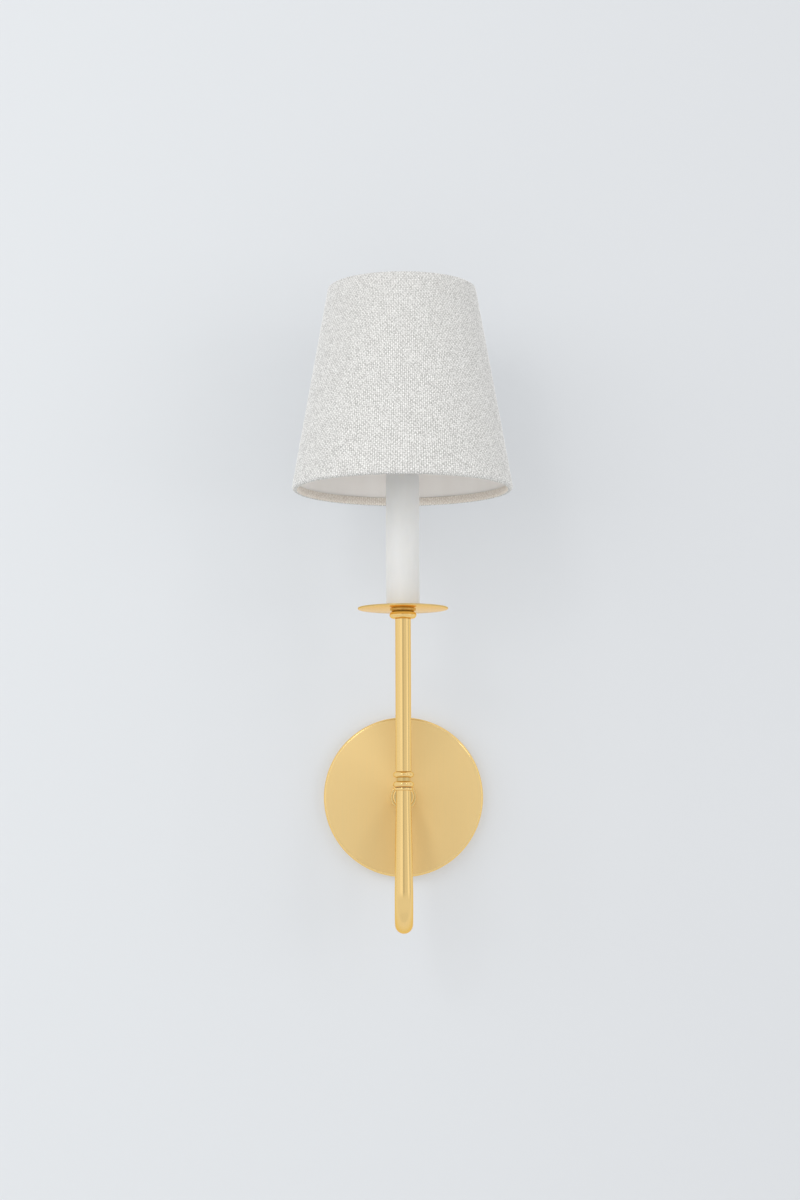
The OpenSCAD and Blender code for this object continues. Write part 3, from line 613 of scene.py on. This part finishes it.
def arm_radii(line):
    """Swells from the boss to the lower bend, then thins up the front leg."""
    lengths = [0.0]
    for a, b in zip(line, line[1:]):
        lengths.append(lengths[-1] + (b - a).length)
    first_of_bend = 1 + NECK_STEPS + BACK_LEG_STEPS
    bend_start = lengths[first_of_bend]
    bend_end = lengths[first_of_bend + BEND_STEPS - 1]
    radii = []
    for s in lengths:
        if s < bend_start:
            radii.append(radius_boss + (radius_bend - radius_boss) * smooth_step(s / bend_start))
        elif s < bend_end:
            radii.append(radius_bend)
        else:
            share = (s - bend_end) / (lengths[-1] - bend_end)
            radii.append(radius_bend + (radius_top - radius_bend) * share)
    return radii


tube_radii = arm_radii(centreline)
print("radius from", round(min(tube_radii) / MM, 1), "to", round(max(tube_radii) / MM, 1), "mm")

# %% [markdown]
# Now rings of points stand along the line, each square to it, once for the outer skin and once for the
# bore, and faces join them into a closed tube.

# %% swan arm
def sweep(name, line, radii, wall, sides=48):
    """A hollow tube of round rings along a line in the middle plane."""
    vertices, faces = [], []
    count = len(line)
    for skin in (0, wall):
        for i in range(count):
            ahead = line[min(i + 1, count - 1)] - line[max(i - 1, 0)]
            ahead.normalize()
            across = Vector((-ahead.y, ahead.x))
            for k in range(sides):
                a = 2 * math.pi * k / sides
                r = radii[i] - skin
                point = line[i] + across * r * math.sin(a)
                vertices.append((r * math.cos(a), -point.x, point.y))
    inner = count * sides
    for k in range(sides):
        j = (k + 1) % sides
        for i in range(count - 1):
            a, b = i * sides, (i + 1) * sides
            faces.append((a + k, a + j, b + j, b + k))
            faces.append((inner + a + k, inner + b + k, inner + b + j, inner + a + j))
        last = (count - 1) * sides
        faces.append((k, inner + k, inner + j, j))
        faces.append((last + k, last + j, inner + last + j, inner + last + k))
    return mesh_piece(name, vertices, faces)


arm = sweep("swan_arm_tube", centreline, tube_radii, arm_wall)
dress(arm, "sconce", tube_brass, "tube_brass", "swan_arm")

# %% [markdown]
# The collar is the small turned joint between arm and stem: a thin foot, a bead, a waist and a second bead.
# Stacked rings would give it too, but one outline keeps the beads and the waist joined. Beads need many
# points, because their highlights show every facet.

# %% collar
collar_foot_radius, waist_radius, bead_radius = 6.6 * MM, 4.8 * MM, 7.45 * MM
wire_bore = 2.6 * MM
stem_low, stem_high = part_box("stem")
stem_radius = span("stem").x / 2
BEAD_STEPS = 24


def bead(base, height, inner, outer):
    """A rounded ridge on a turned piece: half an oval from its foot to its top."""
    angles = [math.pi * i / BEAD_STEPS for i in range(BEAD_STEPS + 1)]
    return [
        (inner + (outer - inner) * math.sin(a), base + height / 2 * (1 - math.cos(a)))
        for a in angles
    ]


collar_low, collar_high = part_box("collar")
low_bead = arm_top + collar_foot_height
high_bead = low_bead + low_bead_height + waist_height
arm_spigot, stem_spigot = 3.8 * MM, 4.25 * MM
foot_edge = 0.5 * MM
foot_low = [(collar_foot_radius - foot_edge * c, arm_top + foot_edge * r)
            for c, r in ((1.0, 0.0), (0.3, 0.3), (0.0, 1.0))]
foot_high = [(collar_foot_radius - foot_edge * c, low_bead - foot_edge * r)
             for c, r in ((0.0, 1.0), (0.3, 0.3), (1.2, 0.0))]
collar_outline = (
    [(wire_bore, collar_low.z), (arm_spigot, collar_low.z), (arm_spigot, arm_top)]
    + foot_low + foot_high
    + bead(low_bead, low_bead_height, waist_radius, bead_radius)
    + bead(high_bead, high_bead_height, waist_radius, bead_radius)
    + [(stem_spigot, stem_low.z), (stem_spigot, collar_high.z), (wire_bore, collar_high.z)]
)


def from_stem_axis(face):
    """How far a face's middle lies from the stem's axis."""
    return math.hypot(face.center.x, face.center.y - stem_y)


collar = spin("collar_turned", collar_outline, (0, stem_y, 0), "Z", 128)
dress(collar, "sconce", turned_brass, "polished_brass", "collar")
# The waist between the beads gets the darker brass: painted shade.
groove_reach = waist_radius + 1.1 * MM
refinish(collar, painted_shade_brass, lambda face: from_stem_axis(face) < groove_reach)

# %% [markdown]
# The stem is a straight drawn tube, plain between the collar and the knob. It is spun as well, so that its
# two ends get the small soft edge that a real cut tube has.

# %% stem
stem_wall = 1.3 * MM
stem_outline = softened(
    [(stem_radius - stem_wall, stem_low.z), (stem_radius, stem_low.z),
     (stem_radius, stem_high.z), (stem_radius - stem_wall, stem_high.z)],
    {1: 0.3 * MM, 2: 0.3 * MM},
)
stem = spin("stem_tube", stem_outline, (0, stem_y, 0), "Z", 128)
dress(stem, "sconce", tube_brass, "tube_brass", "stem")

# %% [markdown]
# The knob ends the stem under the drip pan: a round bulge, a groove and a flared neck. Groove and neck lie
# in the pan's shade and are less polished, so they get the rougher brass, whose darker colour is painted
# shade.

# %% knob
knob_low, knob_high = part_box("knob")
knob_base = stem_high.z
bulge_height = 5.2 * MM
bulge_radius = span("knob").x / 2
bulge_foot = stem_radius + 1.0 * MM
flare_radius, groove_radius = 9.2 * MM, 8.1 * MM
pipe_hole = 4.9 * MM
socket_depth = 4.6 * MM
bulge_top = knob_base + bulge_height
bulge = bead(knob_base, bulge_height, bulge_foot, bulge_radius)
knob_outline = (
    [(wire_bore, knob_low.z), (stem_spigot, knob_low.z), (stem_spigot, knob_base), (stem_radius, knob_base)]
    + bulge
    + [(groove_radius, bulge_top + 0.05 * MM), (groove_radius - 0.1 * MM, bulge_top + 0.2 * MM),
       (groove_radius + 0.1 * MM, bulge_top + 0.4 * MM), (flare_radius - 0.3 * MM, bulge_top + 0.6 * MM),
       (flare_radius, bulge_top + 0.8 * MM), (flare_radius, knob_high.z),
       (pipe_hole, knob_high.z), (wire_bore, knob_high.z - socket_depth)]
)
knob = spin("knob_turned", knob_outline, (0, stem_y, 0), "Z", 128)
dress(knob, "sconce", turned_brass, "polished_brass", "knob")
# Groove and neck get the darker brass: painted shade under the pan.
refinish(knob, painted_shade_brass, lambda face: face.center.z > bulge_top - 0.3 * MM)

# %% [markdown]
# The drip pan is a flat spun disc with a softly rounded edge. On a real candle it caught the wax, and here
# it closes the sleeve from below. Its thin edge gets the rougher brass, whose darker colour is painted
# shade, so that it doesn't outshine the disc.

# %% drip pan
pan_low, pan_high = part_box("drip_pan")
pan_radius = span("drip_pan").x / 2
pan_outline = softened(
    [(pipe_hole, pan_low.z), (pan_radius, pan_low.z), (pan_radius, pan_high.z), (pipe_hole, pan_high.z)],
    {1: 0.55 * MM, 2: 0.55 * MM},
)
pan = spin("drip_pan_spun", pan_outline, (0, stem_y, 0), "Z", 192)
dress(pan, "sconce", tube_brass, "tube_brass", "drip_pan")
pan_edge = pan_radius - 2 * MM
# The pan's thin edge gets the darker brass: painted shade.
refinish(pan, painted_shade_brass, lambda face: abs(face.normal.z) < 0.5 and from_stem_axis(face) > pan_edge)

# %% [markdown]
# The candle sleeve is a plastic tube with a satin, waxy surface. Plain white paint would look hard, so a
# little light is let in under the surface, and slow noise along the tube clouds it as wax is clouded.

# %% candle finish
def candle_finish():
    """Satin plastic that imitates wax."""
    material, nodes, links, shader = new_material("candle_satin", (0.80, 0.79, 0.755), 0.42)
    shader.inputs["Subsurface Weight"].default_value = 0.15
    shader.inputs["Subsurface Radius"].default_value = (3 * MM, 2.4 * MM, 1.8 * MM)
    shader.inputs["Subsurface Scale"].default_value = 1.0
    wax = stretched_noise(nodes, links, (1, 1, 0.25), 140, 3)
    vary_colour(nodes, links, wax, shader, (0.715, 0.718, 0.705), (0.745, 0.748, 0.74))
    relief(nodes, links, wax, shader, 0.06, 0.15 * MM)
    return material


candle_satin = candle_finish()
print("made", candle_satin.name)

# %% [markdown]
# The sleeve itself is one more turned tube, rounder at its upper edge.

# %% candle sleeve
candle_low, candle_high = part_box("candle_sleeve")
candle_radius = span("candle_sleeve").x / 2
candle_wall = 1.25 * MM
candle_outline = softened(
    [(candle_radius - candle_wall, candle_low.z), (candle_radius, candle_low.z),
     (candle_radius, candle_high.z), (candle_radius - candle_wall, candle_high.z)],
    {1: 0.3 * MM, 2: 0.6 * MM, 3: 0.6 * MM},
)
candle = spin("candle_sleeve_tube", candle_outline, (0, stem_y, 0), "Z", 128)
dress(candle, "sconce", candle_satin, "candle_white", "candle_sleeve")

# %% [markdown]
# The shade is a hardback shade: linen laminated to a stiff lining and rolled in over two wire rings. Its
# linen is coarse, with thick and thin yarns, so the weave is real relief in the mesh, not only a bump.

# %% linen outline
linen_low, linen_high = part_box("shade_linen")
shade_bottom_radius = 80.0 * MM
shade_top_radius = 53.5 * MM
shade_height = linen_high.z - linen_low.z
shade_low = linen_low.z
slant = math.atan2(shade_bottom_radius - shade_top_radius, shade_height)
slant_length = shade_height / math.cos(slant)
linen_thick = 1.0 * MM
roll_radius = 2.25 * MM
hem_height = 6.0 * MM
turned_in = 1.7 * MM
ROLL_STEPS, HIDDEN_ROLL_STEPS = 30, 10


def shade_point(u, v):
    """u runs inwards from the outer face, v up along it."""
    return Vector((
        shade_bottom_radius - v * math.sin(slant) - u * math.cos(slant),
        shade_low + v * math.cos(slant) - u * math.sin(slant),
    ))


def roll_points(v, radius, start, end, count):
    """Points on an arc round one of the wire rings."""
    return [shade_point(*p) for p in arc_points((roll_radius, v), radius, start, end, count)]


print("the shade's side:", round(slant_length / MM, 1), "mm, at", round(math.degrees(slant), 1), "degrees")

# %% [markdown]
# The outline runs up the outer face, over the top ring, a little way down inside, and back under its own
# skin. The side that shows is then cut into steps of half a yarn, so that every other point can lie on a
# yarn's crest and the next one in the hollow beside it.

# %% linen section
YARNS_IN_UV = 100
yarn_gap = 1.4 * MM
hem_wrap = 30


def evenly(points, pitch):
    """The same line in equal steps, as near to pitch as they divide it."""
    reach = [0.0]
    for a, b in zip(points, points[1:]):
        reach.append(reach[-1] + (b - a).length)
    steps = round(reach[-1] / pitch)
    places = np.linspace(0, reach[-1], steps + 1)
    first = np.interp(places, reach, [p.x for p in points])
    second = np.interp(places, reach, [p.y for p in points])
    return [Vector(p) for p in zip(first, second)]


def linen_section():
    """The side of the linen that shows, from hem to hem, and the side that is glued to the lining."""
    high = slant_length - roll_radius
    inner = roll_radius - linen_thick
    hem_edge_low = shade_point(turned_in + linen_thick, hem_height)
    hem_edge_high = shade_point(turned_in + linen_thick, slant_length - hem_height)
    shown = (
        [hem_edge_low]
        + roll_points(roll_radius, roll_radius, 360 + hem_wrap, 180, ROLL_STEPS)
        + roll_points(high, roll_radius, 180, -hem_wrap, ROLL_STEPS)
        + [hem_edge_high]
    )
    hidden = (
        [shade_point(turned_in, slant_length - hem_height)]
        + roll_points(high, inner, -hem_wrap, 180, HIDDEN_ROLL_STEPS)
        + roll_points(roll_radius, inner, 180, 360 + hem_wrap, HIDDEN_ROLL_STEPS)
        + [shade_point(turned_in, hem_height)]
    )
    return evenly(shown, yarn_gap / 2), hidden


shown_line, hidden_line = linen_section()

# %% [markdown]
# A plain weave is a chessboard: on every other crossing the upright yarn lies on top, and on the rest the
# level one does. Linen yarns are spun thick and thin, so each crossing also gets its own height, and slow
# noise pushes the yarns a little out of line. A bump in the material could draw the weave as well, but it
# would be flat at the shade's outline, where the real cloth is rough.

# %% relief of the weave
weave_depth = 0.5 * MM
level_yarn_share = 0.5
thick_and_thin = 0.6
yarn_drift = 0.3
# How far the noise moves from one yarn to the next, and how little for each half yarn along one.
next_yarn, along_yarn = 3.7, 0.23
hem_faces = round(hem_height / (yarn_gap / 2))
edge_fade = 3


def crossing_height(column, row):
    """Relief of the weave, from 0 in a hole to about 1. Odd columns and rows lie on the yarns' crests."""
    upright, level = column // 2, row // 2
    if column % 2 and row % 2:
        height = 1.0 if (upright + level) % 2 == 0 else level_yarn_share
    elif column % 2 or row % 2:
        height = 0.5
    else:
        height = 0.0
    slub = (noise.noise((upright * next_yarn, row * along_yarn, 1.0))
            + noise.noise((column * along_yarn, level * next_yarn, 9.0)))
    return 0.5 + (height - 0.5) * (1 + thick_and_thin * slub) + 0.08 * slub


heights = [crossing_height(column, row) for column in range(40) for row in range(40)]
print("relief from", round(min(heights), 2), "to", round(max(heights), 2), "of", weave_depth / MM, "mm")

# %% [markdown]
# The mesh repeats the section round the shade, one column of points for each half yarn, and pushes each
# point out by the relief. Towards the hem's edges the relief fades out. Each point also stores its yarn
# numbers as a texture place, so that the finish can follow the same weave.

# %% linen mesh
def linen_mesh(name):
    """The closed skin of the shade: woven outside, smooth where it is glued to the lining."""
    section = shown_line + hidden_line
    count = len(section)
    yarns_around = 2 * round(math.pi * (shade_bottom_radius + shade_top_radius) / 2 / yarn_gap)
    columns = 2 * yarns_around
    vertices, faces = [], []
    for k in range(columns):
        here, there = k * count, ((k + 1) % columns) * count
        for i, point in enumerate(section):
            ahead = (section[(i + 1) % count] - section[i - 1]).normalized()
            outward = Vector((ahead.y, -ahead.x))
            turn = 2 * math.pi * k / columns
            if i < len(shown_line):
                drift = noise.noise((math.cos(turn) * 9, math.sin(turn) * 9, i * 0.07)) * yarn_drift
                turn += drift * 4 * math.pi / columns
                fade = min(1, min(i, len(shown_line) - 1 - i) / edge_fade)
                point = point + outward * weave_depth * (crossing_height(k, i) - 0.5) * fade
            vertices.append((point.x * math.cos(turn), stem_y + point.x * math.sin(turn), point.y))
            faces.append((here + i, here + (i + 1) % count, there + (i + 1) % count, there + i))
    piece = mesh_piece(name, vertices, faces, 180)
    rows = np.arange(len(faces)) % count
    in_hem = (rows < hem_faces) | ((rows >= len(shown_line) - 1 - hem_faces) & (rows < len(shown_line) - 1))
    piece.data.polygons.foreach_set("material_index", in_hem.astype(np.int32))
    corner = np.zeros(len(piece.data.loops), np.int32)
    piece.data.loops.foreach_get("vertex_index", corner)
    column, row = corner // count, corner % count
    last_faces = np.repeat(np.arange(len(faces)) // count == columns - 1, 4)
    column[last_faces & (column == 0)] = columns
    spots = np.stack([column, row], 1) / 2 / YARNS_IN_UV
    piece.data.uv_layers.new(name="weave").data.foreach_set("uv", spots.astype(np.float32).ravel())
    return piece


linen = linen_mesh("shade_linen_woven")
print(linen.name, "has", len(linen.data.polygons), "faces")

# %% [markdown]
# The finish follows the same chessboard. Yarn tops are pale and the holes between them are grey: the grey
# is painted shade in the hollows of the weave. Fine noise stands for the fibres, and each crossing gets more
# or less contrast by chance, as thick and thin spots of the yarn do. The turned-in hem gets a warmer,
# lighter
# copy of the linen: painted light, the warm light that the lining throws on it.

# %% linen finish
def linen_finish(name, hollow, top):
    """Coarse linen, from the colour of the holes to that of the yarns' tops."""
    material, nodes, links, shader = new_material(name, top, 0.92)
    shader.inputs["Specular IOR Level"].default_value = 0.15
    place = nodes.new("ShaderNodeUVMap")
    place.uv_map = "weave"
    split = nodes.new("ShaderNodeSeparateXYZ")
    links.new(place.outputs["UV"], split.inputs["Vector"])

    def sum_of(operation, *values):
        return calculate(nodes, links, operation, *values)

    def speckle(scale, detail):
        texture = nodes.new("ShaderNodeTexNoise")
        texture.inputs["Scale"].default_value = scale
        texture.inputs["Detail"].default_value = detail
        links.new(place.outputs["UV"], texture.inputs["Vector"])
        return sum_of("SUBTRACT", texture.outputs["Fac"], 0.5)

    def yarns(axis):
        return sum_of("MULTIPLY", split.outputs[axis], YARNS_IN_UV)

    def wave(axis):
        return sum_of("SINE", sum_of("MULTIPLY", yarns(axis), math.pi))

    across, along = wave("X"), wave("Y")
    board = sum_of("MULTIPLY", across, along)
    upright = sum_of("MULTIPLY", sum_of("ABSOLUTE", across), sum_of("MULTIPLY_ADD", board, 0.45, 0.55))
    level = sum_of("MULTIPLY", sum_of("ABSOLUTE", along), sum_of("MULTIPLY_ADD", board, -0.22, 0.33))
    height = sum_of("MAXIMUM", upright, level)

    def chance(cells_per_yarn):
        """A number from 0 to 1 by chance for each cell of the cloth."""
        cell = nodes.new("ShaderNodeCombineXYZ")
        for axis in ("X", "Y"):
            links.new(sum_of("FLOOR", sum_of("MULTIPLY", yarns(axis), cells_per_yarn)), cell.inputs[axis])
        texture = nodes.new("ShaderNodeTexWhiteNoise")
        texture.noise_dimensions = "2D"
        links.new(cell.outputs["Vector"], texture.inputs["Vector"])
        return texture.outputs["Value"]

    fibres = speckle(600, 3)
    contrast = sum_of("MULTIPLY_ADD", chance(1), 0.9, 0.4)
    # The tone follows the weave's height, so the holes come out grey: painted shade, varied by chance per
    # crossing.
    tone = sum_of("MULTIPLY_ADD", sum_of("SUBTRACT", height, 0.5), contrast, 0.295)
    tone = sum_of("MULTIPLY_ADD", chance(2), 0.5, tone)
    tone = sum_of("MULTIPLY_ADD", fibres, 0.3, tone)
    links.new(tint(nodes, links, tone, hollow, top), shader.inputs["Base Color"])
    relief(nodes, links, sum_of("MULTIPLY_ADD", fibres, 0.35, height), shader, 0.7, 0.35 * MM)
    return material


linen.data.materials.append(linen_finish("linen_coarse", (0.38, 0.375, 0.36), (0.97, 0.965, 0.945)))
# The hem gets a warmer, lighter copy of the linen: painted light from the lining.
linen.data.materials.append(linen_finish("linen_hem_painted_light", (0.72, 0.64, 0.56), (1.0, 0.96, 0.89)))
print("linen finishes:", [material.name for material in linen.data.materials])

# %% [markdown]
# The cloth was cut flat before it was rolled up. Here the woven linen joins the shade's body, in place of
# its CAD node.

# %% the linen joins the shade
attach(linen, "shade")
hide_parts("shade_linen")

# %% [markdown]
# The lining is a thin sheet of pale styrene, slightly warm, seen only through the lower opening. Its colour
# is pushed lighter still, as painted light for the light that comes through the linen. It is smooth and
# stiff, so a plain spun cone is enough, and slow noise gives it a faint cloud.

# %% shade lining
def lining_finish():
    """Pale styrene with a faint cloud in it."""
    material, nodes, links, shader = new_material("lining_styrene", (0.84, 0.81, 0.785), 0.55)
    cloud = stretched_noise(nodes, links, (1, 1, 0.15), 60, 3)
    # Lighter than the styrene alone: painted light for the light through the linen.
    vary_colour(nodes, links, cloud, shader, (0.93, 0.90, 0.87), (0.97, 0.95, 0.925))
    relief(nodes, links, cloud, shader, 0.08, 0.2 * MM)
    return material


lining_edge = 4.9 * MM
lining_u, lining_thick = 1.1 * MM, 0.5 * MM
lining_inside, lining_top = lining_u + lining_thick, slant_length - lining_edge
lining_outline = [
    shade_point(lining_u, lining_edge), shade_point(lining_inside, lining_edge),
    shade_point(lining_inside, lining_top), shade_point(lining_u, lining_top),
]
lining = spin("shade_lining_sheet", lining_outline, (0, stem_y, 0), "Z", 192)
dress(lining, "shade", lining_finish(), "lining_white", "shade_lining")

# %% [markdown]
# The hidden hardware keeps its CAD shape, which is exact and rarely seen. It still gets real finishes,
# because the shade lifts off and the back of the plate can be looked into: plated steel that is a little
# worn, moulded plastic with a fine grain, and clear glass.

# %% finishes of the hardware
def plated_steel(name, colour, roughness):
    """Metal whose shine and tone vary a little, as plating does."""
    material, nodes, links, shader = new_material(name, colour, roughness, 1.0)
    wear = stretched_noise(nodes, links, (1, 1, 1), 240, 4)
    links.new(between(nodes, links, wear, roughness - 0.08, roughness + 0.1), shader.inputs["Roughness"])
    vary_colour(nodes, links, wear, shader, tuple(c * 0.82 for c in colour), colour)
    relief(nodes, links, wear, shader, 0.08, 0.05 * MM)
    return material


def moulded(name, colour, roughness):
    """Plastic, paint or enamel with a fine grain."""
    material, nodes, links, shader = new_material(name, colour, roughness)
    grain = stretched_noise(nodes, links, (1, 1, 1), 420, 2)
    vary_colour(nodes, links, grain, shader, tuple(c * 0.9 for c in colour), colour)
    relief(nodes, links, grain, shader, 0.06, 0.05 * MM)
    return material


def bulb_glass_finish():
    """Clear glass with faint streaks from blowing."""
    material, nodes, links, shader = new_material("clear_glass", (1.0, 1.0, 1.0), 0.02)
    shader.inputs["Transmission Weight"].default_value = 1.0
    shader.inputs["IOR"].default_value = 1.45
    streaks = stretched_noise(nodes, links, (1, 1, 0.3), 60, 2)
    links.new(between(nodes, links, streaks, 0.01, 0.05), shader.inputs["Roughness"])
    return material


zinc = plated_steel("zinc_plated", (0.62, 0.64, 0.66), 0.38)
steel = plated_steel("plain_steel", (0.60, 0.60, 0.61), 0.32)
contact_brass = plated_steel("contact_brass", (0.66, 0.47, 0.20), 0.3)
cap_metal = plated_steel("cap_metal", (0.78, 0.79, 0.81), 0.25)
coated_wire = moulded("coated_wire", (0.70, 0.68, 0.63), 0.45)
black_plastic = moulded("black_insulation", (0.025, 0.025, 0.027), 0.5)
white_plastic = moulded("white_insulation", (0.74, 0.73, 0.70), 0.5)
holder_white = moulded("holder_white", (0.76, 0.74, 0.69), 0.35)
green_paint = moulded("green_paint", (0.05, 0.26, 0.10), 0.4)
black_glass = moulded("black_glass", (0.02, 0.02, 0.022), 0.12)
phosphor = moulded("phosphor_yellow", (0.82, 0.55, 0.12), 0.6)
clear_glass = bulb_glass_finish()
print("materials so far:", len(bpy.data.materials))

# %% [markdown]
# Each finish now goes to its CAD nodes. Only the material is set, and the meshes stay untouched.

# %% finishing the hardware
HARDWARE = [
    (zinc, "mounting_strap", "arm_nipple", "lock_nut", "pipe"),
    (turned_brass, "rim_screws"),
    (green_paint, "earth_screw"),
    (steel, "lock_washer", "pan_nut", "holder_leg", "holder_rivet", "filament_frame"),
    (holder_white, "holder_body"),
    (contact_brass, "holder_shell", "holder_contact"),
    (black_plastic, "live_wire"),
    (white_plastic, "neutral_wire"),
    (cap_metal, "bulb_contact", "bulb_cap"),
    (black_glass, "bulb_insulator"),
    (clear_glass, "bulb_glass", "bulb_mount"),
    (phosphor, "filaments"),
    (coated_wire, "clip_loops", "clip_barrel", "cross_bar", "top_ring", "bottom_ring"),
]
for material, *names in HARDWARE:
    for name in names:
        node_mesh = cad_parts[name].data
        node_mesh.materials.clear()
        node_mesh.materials.append(material)
print("hardware finished:", sum(len(row) - 1 for row in HARDWARE), "nodes")
